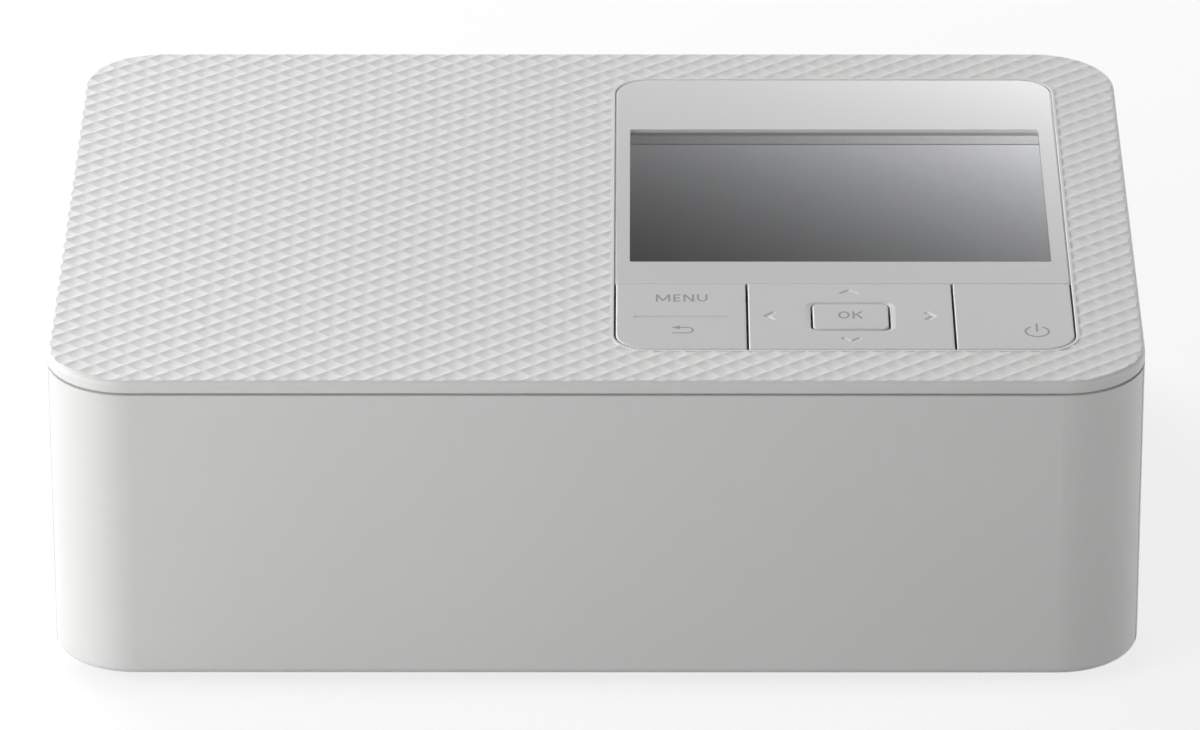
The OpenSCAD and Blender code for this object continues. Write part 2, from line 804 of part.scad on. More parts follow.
module ink_door() {
    gap = 0.35;
    color("white") difference() {
        union() {
            slab_x(inner_x, half_w) round_rect(bay_y0 + gap, bay_z0 + gap, ink_axis_y, bay_z1 - gap, 2.6);
            slab_x(inner_x, half_w) translate([ink_axis_y - 6, bay_z0 + gap])
                square([6, bay_z1 - bay_z0 - 2 * gap]);
            translate([ink_axis_x, ink_axis_y, bay_z0 + gap])
                cylinder(h = bay_z1 - bay_z0 - 2 * gap, r = half_w - ink_axis_x - 0.05);
            // stiffening ribs inside
            for (z = [20, 40]) block([inner_x - 1, bay_y0 + 4, z], [inner_x + 0.2, ink_axis_y - 6, z + 1.2]);
        }
        for (z = [bay_z0 - 1, bay_z1 - 5])
            translate([ink_axis_x, ink_axis_y, z]) cylinder(h = 6, r = ink_pin_r + play);
    }
}

// ---------- paper feed ----------

module grip_roller() {
    color("silver") {
        rod(-55, 55, grip_at, grip_r);
        rod(belt_x0 - 1.2, -55, grip_at, 2.5);
        rod(55, right_x + 2.4, grip_at, 2.5);
    }
}

module grip_gear() {
    color("ivory") {
        gear(gear_x0, gear_x1, grip_at, grip_n, grip_turn, 2.5);
        difference() {
            union() {
                rod(belt_x0, belt_x1, grip_at, pulley_r);
                rod(belt_x0 - 0.6, belt_x0, grip_at, pulley_r + 1.6);
                rod(belt_x1, gear_x0, grip_at, 4);
            }
            rod(belt_x0 - 5, gear_x1, grip_at, 2.5);
        }
    }
}

module pinch_roller() {
    color("dimgray") {
        rod(-50, 50, pinch_at, pinch_r);
        rod(left_x - 1.8, -50, pinch_at, 1.5);
        rod(50, right_x + 1.8, pinch_at, 1.5);
    }
}

module platen_shaft() {
    color("silver") rod(left_x - 1.8, right_x + 1.8, platen_at, 2);
}

module platen_rubber() {
    color("dimgray") difference() {
        rod(-52, 52, platen_at, platen_r);
        rod(-53, 53, platen_at, 2);
    }
}

module pickup_shaft() {
    color("silver") rod(belt_x0 - 1.2, right_x + 1.8, pickup_at, 2);
}

module pickup_tyres() {
    color("dimgray") for (x = [-14, 4]) difference() {
        rod(x, x + 10, pickup_at, pickup_r);
        rod(x - 1, x + 11, pickup_at, 2);
    }
}

module pickup_pulley() {
    color("ivory") pulley(pickup_at);
}

module pinion(at, n, turn, x0, x1, shaft_x) {
    gear(x0, x1, at, n, turn, 0.01);
    rod(min(x0, shaft_x), max(x1, shaft_x), at, 1);
}

module feed_pinion() {
    color("goldenrod") pinion(motor_at, pinion_n, motor_turn, gear_x0, gear_x1, motor_x - 2.5);
}

module idler_gear() {
    color("ivory") gear(gear_x0, gear_x1, idler_at, idler_n, idler_turn, 2 + play);
}

module lift_plate() {
    color("dimgray") {
        block([-15.5, -52, 4.8], [15.5, lift_at[0], 6]);
        block([-15.5, lift_at[0] - 3, 4.8], [15.5, lift_at[0], lift_at[1]]);
        rod(-16, 16, lift_at, 2);
        rod(-19.5, 19.5, lift_at, lift_r);
    }
}

// ---------- ribbon drive ----------

module splined_hub(at) {
    rod(-63.6, -57, at, 4);
    for (i = [0 : 5]) translate([0, at[0], at[1]]) rotate([i * 60, 0, 0])
        block([-63.6, -0.6, 0], [-57, 0.6, 5]);
    rod(gear_x0 - 0.5, -63, at, 1.5);
}

module takeup_hub() {
    color("ivory") splined_hub(takeup_at);
}

module takeup_gear() {
    color("ivory") gear(gear_x0, gear_x1, takeup_at, takeup_n, takeup_turn, 1.5);
}

module ribbon_pinion() {
    color("goldenrod") pinion(ribbon_at, small_n, ribbon_turn, gear_x0, gear_x1, motor_x - 2.5);
}

module supply_hub() {
    color("ivory") {
        splined_hub(supply_at);
        rod(-69.5, -67.5, supply_at, 7);
    }
}

module cassette_lever() {
    color("steelblue") {
        block([83, -38.4, 26], [85, -35.3, 38]);
        block([85, -38.4, 33], [87.6, -35.3, 36]);
    }
}

// ---------- print head ----------

cam_swing = 120;
cam_low = 3.3;
cam_rise = 1.32;
ear_x = 57;

// radius of the cam towards an angle of its own: a steady spiral, a short hold and a fall
function cam_radius(a) =
    a <= 90 && a >= 90 - cam_swing ? cam_low + cam_rise * (90 - a) / cam_swing
    : a < 90 - cam_swing && a >= -45 ? cam_low + cam_rise
    : a < -45 && a >= -90 ? cam_low + cam_rise * (a + 90) / 45 : cam_low;

module cam_shaft() {
    color("ivory") {
        rod(left_x - 1.8, head_gear_x1 + 0.5, cam_at, 2);
        for (s = [-1, 1]) translate([0, cam_at[0], cam_at[1]]) slab_x(s * ear_x - 1.3, s * ear_x + 1.3)
            polygon([for (a = [-90 : 6 : 264]) cam_radius(a) * [cos(a), sin(a)]]);
    }
}

module cam_gear() {
    color("ivory") gear(head_gear_x0, head_gear_x1, cam_at, cam_n, cam_turn, 2);
}

module head_pinion() {
    color("goldenrod") pinion(headm_at, small_n, headm_turn, head_gear_x0, head_gear_x1, head_motor_x + 2.5);
}

module thermal_head() {
    color("tan") {
        block([-53, -10, 22.4], [53, -2.4, 25]);
        rod(-52, 52, [-6.2, 22.6], 0.6);
    }
}

module heat_sink() {
    color("silver") difference() {
        block([-53, -9.4, 25], [53, -3, 46.8]);
        for (z = [28 : 4 : 44]) for (y = [-9.4, -3]) block([-60, y - 1.6, z], [60, y + 1.6, z + 2]);
    }
}

module head_bracket() {
    color("silver") {
        block([-57.5, -12, 46.8], [57.5, 42, 48.4]);
        for (s = [-1, 1]) slab_x(s * ear_x - 0.75, s * ear_x + 0.75) difference() {
            union() {
                polygon([[28, 46.9], [34, 40], [38, 38], [44, 39.6], [54, 39.6], [54, 42],
                    [46, 44], [42, 48.4], [28, 48.4]]);
                translate(pivot_at) circle(4);
            }
            translate(pivot_at) circle(2 + play);
        }
    }
}

case_shell();
base_tray();
feet();
case_screws();
front_frame();
front_door_pins();
ink_door_pins();
top_cover();
console_frame();
display_window();
display_panel();
key_board();
main_board();
card_reader();
usb_port();
dc_jack();
panel_cable();
left_side_plate();
right_side_plate();
paper_guide_lower();
paper_guide_upper();
ribbon_cradle();
head_shaft();
head_springs();
shaft_bushes();
feed_motor();
ribbon_motor();
head_motor();
feed_belt();
front_door();
ink_door();
menu_key();
pad_carrier();
direction_pad();
ok_key();
power_key();
grip_roller();
grip_gear();
pinch_roller();
platen_shaft();
platen_rubber();
pickup_shaft();
pickup_tyres();
pickup_pulley();
feed_pinion();
idler_gear();
takeup_gear();
takeup_hub();
ribbon_pinion();
supply_hub();
cam_shaft();
cam_gear();
head_pinion();
thermal_head();
heat_sink();
head_bracket();
lift_plate();
cassette_lever();
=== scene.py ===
import json
import math

import bpy
import numpy as np
from mathutils import Matrix


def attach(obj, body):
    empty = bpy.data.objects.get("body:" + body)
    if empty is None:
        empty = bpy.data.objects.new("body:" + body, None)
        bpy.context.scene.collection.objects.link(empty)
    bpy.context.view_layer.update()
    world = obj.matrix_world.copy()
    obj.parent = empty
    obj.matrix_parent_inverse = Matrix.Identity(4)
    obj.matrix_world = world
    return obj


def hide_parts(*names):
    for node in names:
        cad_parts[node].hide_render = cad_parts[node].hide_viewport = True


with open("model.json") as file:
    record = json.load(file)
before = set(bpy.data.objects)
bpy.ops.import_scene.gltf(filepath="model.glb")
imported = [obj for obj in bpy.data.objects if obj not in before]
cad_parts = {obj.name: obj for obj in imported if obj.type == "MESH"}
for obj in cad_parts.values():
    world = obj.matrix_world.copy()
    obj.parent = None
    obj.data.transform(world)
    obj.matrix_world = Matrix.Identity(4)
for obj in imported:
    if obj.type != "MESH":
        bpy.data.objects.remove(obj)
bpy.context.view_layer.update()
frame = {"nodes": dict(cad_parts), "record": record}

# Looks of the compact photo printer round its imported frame. Lengths below are millimetres in the
# frame's axes and become metres where a mesh or a light is made.
MM = 0.001

# ---------------------------------------------------------------- the printer's own sizes
BODY_W, BODY_D, TOP_Z = 182.2, 133.0, 57.6
CORNER_R = 14.0
CONSOLE = (3.32, -54.15, 79.55, 54.45)      # left, front, right, rear, as every box below
CONSOLE_R = 5.5
CONSOLE_GAP = 0.32             # from the console to the lid round it
SPLIT_Y = -29.0                # front edge of the window, behind the keys
WINDOW_Z = 55.5                # underside of the window
SCREEN = (5.6, -20.5, 76.9, 33.5)

# ---------------------------------------------------------------- materials


def linear(hexcode):
    """An sRGB hex colour as linear RGBA."""
    c = np.array([int(hexcode[i:i + 2], 16) for i in (1, 3, 5)]) / 255
    c = np.where(c <= 0.04045, c / 12.92, ((c + 0.055) / 1.055) ** 2.4)
    return (*(float(v) for v in c), 1.0)


def add(tree, kind, sockets=None, **settings):
    """Adds one node. sockets sets inputs by name or number, to a value or from another node's output."""
    n = tree.nodes.new(kind)
    for key, value in settings.items():
        setattr(n, key, value)
    for key, value in (sockets or {}).items():
        if isinstance(value, bpy.types.NodeSocket):
            tree.links.new(value, n.inputs[key])
        else:
            n.inputs[key].default_value = value
    return n


def finish(name, build):
    """A material whose nodes build() makes. build gets the tree and the surface's own place in metres,
    and returns the shader's output."""
    mat = bpy.data.materials.new(name)
    mat.use_nodes = True
    tree = mat.node_tree
    tree.nodes.clear()
    place = add(tree, "ShaderNodeTexCoord").outputs["Object"]
    add(tree, "ShaderNodeOutputMaterial", {"Surface": build(tree, place)})
    return mat


def moulded(tree, place, tone, shade, rough, grain_mm, grain_depth, coat=0.0, ior=1.53,
            stretch=(1, 1, 1), metallic=0.0):
    """A moulded or worked surface: two close tones in broad clouds, fine grain in the normal and a
    roughness that varies a little with the grain."""
    at = add(tree, "ShaderNodeMapping", {"Vector": place, "Scale": stretch}).outputs[0]
    cloud = add(tree, "ShaderNodeTexNoise", {"Vector": place, "Scale": 1 / (40 * MM), "Detail": 3.0})
    grain = add(tree, "ShaderNodeTexNoise",
                {"Vector": at, "Scale": 1 / (grain_mm * MM), "Detail": 2.0, "Roughness": 0.6})
    colour = add(tree, "ShaderNodeMix", {"Factor": cloud.outputs[0], 6: linear(tone), 7: linear(shade)},
                 data_type="RGBA")
    spread = add(tree, "ShaderNodeMapRange",
                 {0: grain.outputs[0], 3: max(rough - 0.06, 0.02), 4: min(rough + 0.06, 1)})
    bump = add(tree, "ShaderNodeBump", {"Height": grain.outputs[0], "Strength": 1.0,
                                        "Distance": grain_depth * MM})
    return add(tree, "ShaderNodeBsdfPrincipled", {
        "Base Color": colour.outputs[2], "Roughness": spread.outputs[0], "IOR": ior,
        "Metallic": metallic, "Coat Weight": coat, "Coat Roughness": 0.05,
        "Normal": bump.outputs[0]}).outputs[0]


# ABS, spark-eroded mould: an even matt white with a very fine sand grain. The real grain is about
# 0.05 mm; it is drawn at 0.35 mm so that it shows.
case_plastic = finish("case_plastic_abs_moulded_matt", lambda t, p: moulded(
    t, p, "#EAEAE9", "#E6E6E5", 0.5, 0.35, 0.004))
# the same plastic on the keys, from a smoother mould, so a satin sheen
key_plastic = finish("key_plastic_abs_moulded_satin", lambda t, p: moulded(
    t, p, "#DCDCDC", "#D8D8D8", 0.32, 0.5, 0.0015))
# impact polystyrene on the inside: duller and a little greyer, with faint flow marks
inner_plastic = finish("inner_plastic_polystyrene_moulded", lambda t, p: moulded(
    t, p, "#CFCFCC", "#C2C2BF", 0.6, 0.8, 0.006, ior=1.59))
# black glass-filled ABS of the paper guides: matt, with a coarse grain that hides scratches
guide_plastic = finish("guide_plastic_abs_black_moulded", lambda t, p: moulded(
    t, p, "#2B2B2D", "#242426", 0.55, 0.6, 0.01))
# natural acetal: waxy, off-white, smooth from the mould
gear_plastic = finish("gear_plastic_acetal_moulded", lambda t, p: moulded(
    t, p, "#E9E4D2", "#DED8C4", 0.35, 0.9, 0.002, ior=1.48))
# the same acetal, dyed blue for the lever that the user moves: smooth, a little less glossy
lever_plastic = finish("lever_plastic_acetal_blue_moulded", lambda t, p: moulded(
    t, p, "#3E6E9E", "#376392", 0.38, 0.9, 0.003, ior=1.48))
# nitrile rubber, ground to size: dull black with a fine scratched grain round the roller
rubber = finish("rubber_nitrile_ground", lambda t, p: moulded(
    t, p, "#2A2A2A", "#212121", 0.75, 0.5, 0.012, ior=1.52, stretch=(3, 1, 1)))
# ground steel shafts and screws: fine marks that run round the shaft
shaft_steel = finish("shaft_steel_ground", lambda t, p: moulded(
    t, p, "#BDBEBF", "#AEB0B2", 0.24, 0.5, 0.0012, stretch=(6, 0.3, 0.3), metallic=1.0, ior=1.5))
# sintered bronze and turned brass
brass = finish("brass_turned", lambda t, p: moulded(
    t, p, "#C9A45C", "#B98F49", 0.3, 0.4, 0.002, stretch=(5, 0.5, 0.5), metallic=1.0, ior=1.5))
# extruded aluminium: fine lines along the bar
heat_sink_metal = finish("heat_sink_aluminium_extruded", lambda t, p: moulded(
    t, p, "#C4C6C8", "#B3B6B9", 0.34, 0.4, 0.003, stretch=(0.05, 2, 2), metallic=1.0, ior=1.5))
# alumina under a fired glaze, on the print head: the smoothest and glossiest surface inside
ceramic = finish("ceramic_alumina_glazed", lambda t, p: moulded(
    t, p, "#B79F74", "#A8906A", 0.14, 1.2, 0.001, ior=1.7))
# polyester film laminated over copper strips: thin, amber and softly glossy
cable_film = finish("cable_film_polyester_laminated", lambda t, p: moulded(
    t, p, "#D8C79A", "#CFBC8C", 0.3, 0.6, 0.001, ior=1.57))


def zinc_plated(t, p, tone, shade, rough):
    """Zinc-plated sheet: flat crystals of a few millimetres, each with its own tint and gloss."""
    cell = add(t, "ShaderNodeTexVoronoi", {"Vector": p, "Scale": 1 / (4 * MM)})
    tint = add(t, "ShaderNodeSeparateColor", {0: cell.outputs["Color"]})
    fine = add(t, "ShaderNodeTexNoise", {"Vector": p, "Scale": 1 / (0.5 * MM), "Detail": 2.0})
    colour = add(t, "ShaderNodeMix", {"Factor": tint.outputs[0], 6: linear(tone), 7: linear(shade)},
                 data_type="RGBA")
    gloss = add(t, "ShaderNodeMapRange", {0: tint.outputs[1], 3: rough - 0.07, 4: rough + 0.07})
    bump = add(t, "ShaderNodeBump", {"Height": fine.outputs[0], "Distance": 0.0015 * MM})
    return add(t, "ShaderNodeBsdfPrincipled", {
        "Base Color": colour.outputs[2], "Roughness": gloss.outputs[0], "Metallic": 1.0,
        "Normal": bump.outputs[0]}).outputs[0]


# the chassis' side plates and brackets, and the drawn cans of the motors, a little darker
sheet_steel = finish("sheet_steel_zinc_plated",
                     lambda t, p: zinc_plated(t, p, "#B9BBBC", "#A3A6A8", 0.36))
motor_steel = finish("motor_can_steel_zinc_plated",
                     lambda t, p: zinc_plated(t, p, "#A8AAAB", "#999B9D", 0.3))


def printed_board(t, p):
    """Green solder mask over copper: the tracks stand 0.04 mm proud and show lighter under the mask."""
    grid = add(t, "ShaderNodeTexBrick", {"Vector": p, "Scale": 1 / (3 * MM), "Mortar Size": 0.12,
                                         "Mortar Smooth": 0.1, "Brick Width": 1.7, "Row Height": 0.6})
    spread = add(t, "ShaderNodeTexNoise", {"Vector": p, "Scale": 1 / (9 * MM), "Detail": 1.0})
    keep = add(t, "ShaderNodeMath", {0: spread.outputs[0], 1: 0.5}, operation="GREATER_THAN")
    track = add(t, "ShaderNodeMath", {0: grid.outputs["Fac"], 1: keep.outputs[0]}, operation="MULTIPLY")
    colour = add(t, "ShaderNodeMix", {"Factor": track.outputs[0], 6: linear("#14532F"),
                                      7: linear("#2F7A4A")}, data_type="RGBA")
    bump = add(t, "ShaderNodeBump", {"Height": track.outputs[0], "Distance": 0.04 * MM})
    return add(t, "ShaderNodeBsdfPrincipled", {
        "Base Color": colour.outputs[2], "Roughness": 0.28, "IOR": 1.55,
        "Normal": bump.outputs[0]}).outputs[0]


# glass-fibre board under a printed mask: green, glossy, with raised tracks
board = finish("board_fibreglass_solder_mask", printed_board)


def printed_white(t, p):
    """White ink behind a hard-coated acrylic sheet: a flat white under a clear, even gloss."""
    wave = add(t, "ShaderNodeTexNoise", {"Vector": p, "Scale": 1 / (25 * MM), "Detail": 1.0})
    colour = add(t, "ShaderNodeMix", {"Factor": wave.outputs[0], 6: linear("#DEDEDE"),
                                      7: linear("#DADADA")}, data_type="RGBA")
    bump = add(t, "ShaderNodeBump", {"Height": wave.outputs[0], "Distance": 0.002 * MM})
    return add(t, "ShaderNodeBsdfPrincipled", {
        "Base Color": colour.outputs[2], "Roughness": 0.5, "IOR": 1.49, "Coat Weight": 1.0,
        "Coat Roughness": 0.04, "Coat IOR": 1.49, "Coat Normal": bump.outputs[0]}).outputs[0]


# acrylic sheet, printed from behind: a bright gloss over an even white
window_white = finish("window_acrylic_printed_white", printed_white)


def clear_cover(t, p):
    """Clear acrylic over the screen. Only its upper face mirrors; the rest lets all light through."""
    wave = add(t, "ShaderNodeTexNoise", {"Vector": p, "Scale": 1 / (30 * MM), "Detail": 0.0})
    bump = add(t, "ShaderNodeBump", {"Height": wave.outputs[0], "Distance": 0.002 * MM})
    fresnel = add(t, "ShaderNodeFresnel", {"IOR": 1.49, "Normal": bump.outputs[0]})
    back = add(t, "ShaderNodeNewGeometry").outputs["Backfacing"]
    front = add(t, "ShaderNodeMath", {0: 1.0, 1: back}, operation="SUBTRACT")
    share = add(t, "ShaderNodeMath", {0: fresnel.outputs[0], 1: front.outputs[0]}, operation="MULTIPLY")
    see = add(t, "ShaderNodeBsdfTransparent", {"Color": (0.98, 0.98, 0.98, 1)})
    mirror = add(t, "ShaderNodeBsdfGlossy", {"Color": (1, 1, 1, 1), "Roughness": 0.03,
                                             "Normal": bump.outputs[0]})
    return add(t, "ShaderNodeMixShader", {0: share.outputs[0], 1: see.outputs[0],
                                          2: mirror.outputs[0]}).outputs[0]


# the same sheet where it isn't printed: only its gloss shows
window_clear = finish("window_acrylic_clear", clear_cover)


def silvered_cell(tone, shade):
    """Liquid-crystal cell with the light off: its silvered back mirrors the room darkly, broken by the
    faint grid of its pixels."""
    def build(t, p):
        grid = add(t, "ShaderNodeTexNoise", {"Vector": p, "Scale": 1 / (0.3 * MM), "Detail": 1.0})
        colour = add(t, "ShaderNodeMix", {"Factor": grid.outputs[0], 6: linear(tone), 7: linear(shade)},
                     data_type="RGBA")
        return add(t, "ShaderNodeBsdfPrincipled", {
            "Base Color": colour.outputs[2], "Metallic": 1.0, "Roughness": 0.1}).outputs[0]
    return build


# the cell, drawn with a 0.3 mm grid, and the darker film along its rear edge, which is the cell's inactive
# border and also painted shade where the printed border overhangs it
screen_dark = finish("display_cell_silvered", silvered_cell("#898A8C", "#86878A"))
screen_edge_and_shade = finish("display_edge_film_and_shade", silvered_cell("#767779", "#737476"))
# grey ink, pad-printed on the keys: flat and thin
legend_ink = finish("legend_ink_grey_pad_printed", lambda t, p: moulded(
    t, p, "#9A9A9B", "#949596", 0.5, 0.3, 0.001))

SLOT_FINISH = {
    "case_plastic": case_plastic, "key_plastic": key_plastic, "inner_plastic": inner_plastic,
    "window": window_white, "display": screen_dark, "board": board, "sheet_steel": sheet_steel,
    "shaft_steel": shaft_steel, "motor_steel": motor_steel, "brass": brass,
    "gear_plastic": gear_plastic, "guide_plastic": guide_plastic, "rubber": rubber,
    "heat_sink_metal": heat_sink_metal, "ceramic": ceramic, "lever_plastic": lever_plastic,
    "cable_film": cable_film}
for part in frame["record"]["subparts"]:
    node = frame["nodes"][part["node"]]
    for slot in range(len(node.data.materials)):
        node.data.materials[slot] = SLOT_FINISH[part["material_slot"]]

# ---------------------------------------------------------------- mesh helpers


def dress(o, material, body, slot, replaces=(), sharp_deg=30):
    """Gives a mesh object its material, its shading and its place in the frame."""
    mesh = o.data
    mesh.polygons.foreach_set("use_smooth", np.full(len(mesh.polygons), True))
    mesh.set_sharp_from_angle(angle=math.radians(sharp_deg))
    mesh.materials.clear()
    mesh.materials.append(material)
    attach(o, body)
    if replaces:
        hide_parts(*replaces)


def bare(name, points, faces):
    """An object from arrays of points (millimetres) and faces."""
    mesh = bpy.data.meshes.new(name)
    mesh.from_pydata((np.asarray(points, float) * MM).tolist(), [],
                     faces if isinstance(faces, list) else faces.tolist())
    o = bpy.data.objects.new(name, mesh)
    bpy.context.scene.collection.objects.link(o)
    return o


def piece(name, points, faces, *dressing, **more):
    dress(bare(name, points, faces), *dressing, **more)


def cut(solid, tool):
    """Takes one closed mesh away from another, and removes the tool."""
    step = solid.modifiers.new("cut", "BOOLEAN")
    step.operation, step.solver, step.object = "DIFFERENCE", "MANIFOLD", tool
    graph = bpy.context.evaluated_depsgraph_get()
    done = bpy.data.meshes.new_from_object(solid.evaluated_get(graph))
    solid.modifiers.clear()
    solid.data = done
    bpy.data.objects.remove(tool)
    return solid


def grown(box, d):
    return box[0] - d, box[1] - d, box[2] + d, box[3] + d


def corners(box):
    """The four corners of a box, anticlockwise from its first."""
    x0, y0, x1, y1 = box
    return np.array([(x0, y0), (x1, y0), (x1, y1), (x0, y1)])


def loop(box, radii, per_corner=12):
    """Points anticlockwise round a rectangle whose corners (front left, front right, rear right, rear
    left) have their own radii: centre + r (cos a, sin a) over each quarter turn."""
    x0, y0, x1, y1 = box
    quarter = np.linspace(0, math.pi / 2, per_corner)
    pts = []
    for (cx, sx), (cy, sy), r, start in zip(
            ((x0, 1), (x1, -1), (x1, -1), (x0, 1)), ((y0, 1), (y0, 1), (y1, -1), (y1, -1)), radii,
            (math.pi, 1.5 * math.pi, 0, math.pi / 2)):
        a = start + quarter
        pts.append(np.stack([cx + sx * r + r * np.cos(a), cy + sy * r + r * np.sin(a)], 1))
    return np.concatenate(pts)


def rings(loops, heights, closed=False):
    """A wall through loops of equal length, each at its height; the ends are capped with one face
    unless the wall closes on itself."""
    n = len(loops[0])
    pts = np.concatenate([np.column_stack([lp, np.full(n, h)]) for lp, h in zip(loops, heights)])
    m = len(loops)
    i, j = np.meshgrid(np.arange(m if closed else m - 1), np.arange(n), indexing="ij")
    a, b = i * n + j, i * n + (j + 1) % n
    c, d = ((i + 1) % m) * n + (j + 1) % n, ((i + 1) % m) * n + j
    faces = np.stack([a, b, c, d], -1).reshape(-1, 4).tolist()
    if not closed:
        faces.append(list(range(n))[::-1])
        faces.append(list(range((m - 1) * n, m * n)))
    return pts, faces


# ---------------------------------------------------------------- relief of the lid
PITCH_X, PITCH_Y = 5.193, 4.212
RELIEF_DEPTH = 0.18
RELIEF_SHIFT = (0.147, 0.70)
DIMPLE_GRID = (-0.5, -0.38, -0.21, 0.0, 0.21, 0.38)     # lines drawn across one step of u or v
AIR_H = 3.0                    # height of the cutting block over the lid
LAND = 0.55                    # plain land left round the console's opening
EDGE_R = 1.0
OPENING_R = 0.15
LID_CHAMFER = 0.15             # at the lid's lower outer edge
LID_Z = 55.3
RIB_Z = 52.7
RIB_OUTER, RIB_INNER = 2.5, 3.8             # the rib's faces, in from the case's outline
NOTCH = (85.9, 27.5, 91.9, 33.5)            # gap in the rib for the side door's pin


def relief_air():
    """The air over the dimples: a closed block whose underside is the relief. Its grid slants with the
    crests, which lie at the half steps of u = x / pitch + y / pitch and v = x / pitch - y / pitch, and
    its height is top - depth (1 - |2u|^2.5) (1 - |2v|^2.5), u and v measured from their nearest step."""
    reach = math.ceil(0.5 * BODY_W / PITCH_X + 0.5 * BODY_D / PITCH_Y + 1)
    near = np.tile(DIMPLE_GRID, 2 * reach)
    k = np.repeat(np.arange(-reach, reach), len(DIMPLE_GRID)) + near
    bowl = 1 - np.abs(2 * near) ** 2.5
    u, v = np.meshgrid(k, k, indexing="ij")
    x = (u + v) / 2 * PITCH_X + RELIEF_SHIFT[0]
    y = (u - v) / 2 * PITCH_Y + RELIEF_SHIFT[1]
    z = TOP_Z - RELIEF_DEPTH * np.outer(bowl, bowl)
    n = len(k)
    i, j = np.meshgrid(np.arange(n - 1), np.arange(n - 1), indexing="ij")
    quads = np.stack([i * n + j, (i + 1) * n + j, (i + 1) * n + j + 1, i * n + j + 1], -1).reshape(-1, 4)
    mid_x, mid_y = x.ravel()[quads].mean(1), y.ravel()[quads].mean(1)
    quads = quads[(np.abs(mid_x) < BODY_W / 2 + 1) & (np.abs(mid_y) < BODY_D / 2 + 1)]
    used, index = np.unique(quads, return_inverse=True)
    quads = index.reshape(-1, 4)
    low = np.column_stack([x.ravel()[used], y.ravel()[used], z.ravel()[used]])
    high = low.copy()
    high[:, 2] = TOP_Z + AIR_H
    m = len(low)
    sides = np.concatenate([quads[:, (a, (a + 1) % 4)] for a in range(4)])
    both = {tuple(e) for e in sides.tolist()}
    edge = np.array([e for e in sorted(both) if e[::-1] not in both])
    walls = np.column_stack([edge[:, 1], edge[:, 0], edge[:, 0] + m, edge[:, 1] + m])
    return np.concatenate([low, high]), np.concatenate([quads, quads[:, ::-1] + m, walls])


def plan(inset, per_corner):
    """The case's outline, drawn in by a distance."""
    box = grown((-BODY_W / 2, -BODY_D / 2, BODY_W / 2, BODY_D / 2), -inset)
    return loop(box, (CORNER_R - inset,) * 4, per_corner)


def opening(growth, per_corner):
    return loop(grown(CONSOLE, growth), (CONSOLE_R + growth,) * 4, per_corner)


def lid_blank(per_corner=24, edge_steps=14):
    """The lid without its relief: a wall carried from the outer edge over the top and down the console's
    opening, and back along the underside. The edges are quarter rounds: inset r (1 - sin a), height
    top - r (1 - cos a)."""
    a = np.linspace(math.pi / 2, 0, edge_steps)
    loops = [plan(LID_CHAMFER, per_corner), plan(0, per_corner)]
    heights = [LID_Z, LID_Z + LID_CHAMFER]
    loops += [plan(EDGE_R * (1 - math.sin(t)), per_corner) for t in a]
    heights += [TOP_Z - EDGE_R * (1 - math.cos(t)) for t in a]
    a = np.linspace(0, math.pi / 2, 6)
    loops += [opening(CONSOLE_GAP + OPENING_R * (1 - math.sin(t)), per_corner) for t in a]
    heights += [TOP_Z - OPENING_R * (1 - math.cos(t)) for t in a]
    loops.append(opening(CONSOLE_GAP, per_corner))
    heights.append(LID_Z)
    return rings(loops, heights, closed=True)


air = bare("air", *relief_air())
# the block's part over the land goes first, by a tool that passes both its faces
cut(air, bare("land", *rings([opening(CONSOLE_GAP + LAND, 24)] * 2, [TOP_Z - 5, TOP_Z + 2 * AIR_H])))
lid = cut(bare("lid", *lid_blank()), air)
dress(lid, case_plastic, "case", "case_plastic", ["top_cover"], sharp_deg=8)

rib_loops = [plan(inset, 12) for inset in (RIB_OUTER, RIB_OUTER, RIB_INNER, RIB_INNER)]
rib = bare("lid_rib", *rings(rib_loops, [LID_Z, RIB_Z, RIB_Z, LID_Z], closed=True))
cut(rib, bare("notch", *rings([corners(NOTCH)] * 2, [RIB_Z - 1, LID_Z + 1])))
dress(rib, case_plastic, "case", "case_plastic")

# ---------------------------------------------------------------- window and display
LEDGE, LEDGE_Z = 0.26, TOP_Z - 0.3    # the window's flange, which closes the gap round it
WINDOW_EDGE = (0.04, 0.3, 0.1, 0.1)   # width of the turned edge at the left, front, right and rear
WINDOW_DROP = 0.1                     # and its height
WINDOW_FRONT_R = 0.3
SCREEN_R = 0.4
COVER_TOP, COVER_T = TOP_Z - 0.01, 0.24
CELL_TOP, CELL_GAP, CELL_R = TOP_Z - 0.73, 0.02, 0.38
FILM_FRONT, FILM_T = 28.75, 0.11      # the dark film along the cell's rear edge: its inactive border, and painted shade under the printed border
SHADING_LOOP = 0.06                   # width of the flat strip that ends each turned edge's shading
LEAST_R = 0.05                        # smallest corner radius
window_box = (CONSOLE[0], SPLIT_Y, CONSOLE[2], CONSOLE[3])
window_r = (WINDOW_FRONT_R, WINDOW_FRONT_R, CONSOLE_R, CONSOLE_R)


def rounded_top(box, radii, z0, top, edge, drop, steps=6):
    """Loops and heights of a wall that rises from z0 and turns over into a flat top. edge holds the
    turn's own width at the left, front, right and rear: inset edge (1 - cos a), height
    top - drop (1 - sin a). One more loop just inside keeps the flat's shading flat."""
    a = np.linspace(0, math.pi / 2, steps)
    inward = np.multiply(edge, (1, 1, -1, -1))
    further = 1 + SHADING_LOOP / max(edge)
    loops = [loop(np.array(box) + inward * f, [max(r - edge[0] * f, LEAST_R) for r in radii])
             for f in (0.0, *(1 - np.cos(a)), further)]
    return loops, [z0, *(top - drop * (1 - np.sin(a))), top]


